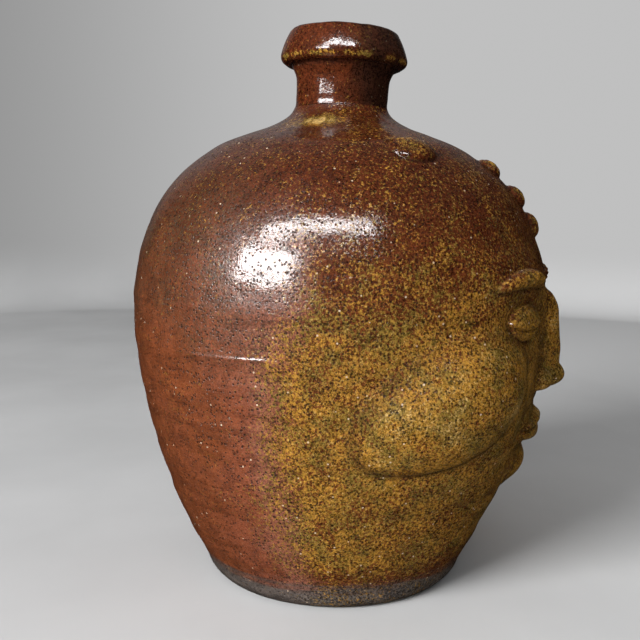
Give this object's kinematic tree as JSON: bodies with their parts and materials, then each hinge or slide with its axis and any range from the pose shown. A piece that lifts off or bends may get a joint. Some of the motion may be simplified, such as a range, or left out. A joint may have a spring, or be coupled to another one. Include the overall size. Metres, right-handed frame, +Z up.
{
  "type": "sake bottle",
  "caption": "Round thrown stoneware sake bottle with a short neck, a flared collar rim and a calm full-cheeked face in relief on one side.",
  "frame": {"origin": "centre of the flat base, on the surface the bottle stands on", "axes": "+Z up through the neck, -Y the way the face looks, +X the face's own left"},
  "size_m": [0.158, 0.1647, 0.21],
  "materials": {
    "brick_stoneware": "brick red and purple brown high-fired stoneware, glossy, with fine throwing rings, dark pits and pale feldspar specks",
    "ash_glazed_stoneware": "natural ash glaze, finely mottled ochre and olive over dark brown, glossy and slightly orange-peeled"
  },
  "bodies": {
    "root": {"lower_body": "brick_stoneware", "upper_body": "brick_stoneware", "neck": "brick_stoneware", "collar_rim": "brick_stoneware", "brow_left": "ash_glazed_stoneware", "brow_right": "ash_glazed_stoneware", "eye_left": "ash_glazed_stoneware", "eye_right": "ash_glazed_stoneware", "cheek_left": "ash_glazed_stoneware", "cheek_right": "ash_glazed_stoneware", "nose": "ash_glazed_stoneware", "upper_lip": "ash_glazed_stoneware", "lower_lip": "ash_glazed_stoneware", "chin": "ash_glazed_stoneware", "hair_tuft_front_1": "ash_glazed_stoneware", "hair_tuft_front_2": "ash_glazed_stoneware", "hair_tuft_front_3": "ash_glazed_stoneware", "hair_tuft_left": "ash_glazed_stoneware", "hair_tuft_right": "ash_glazed_stoneware"}
  },
  "joints": []
}
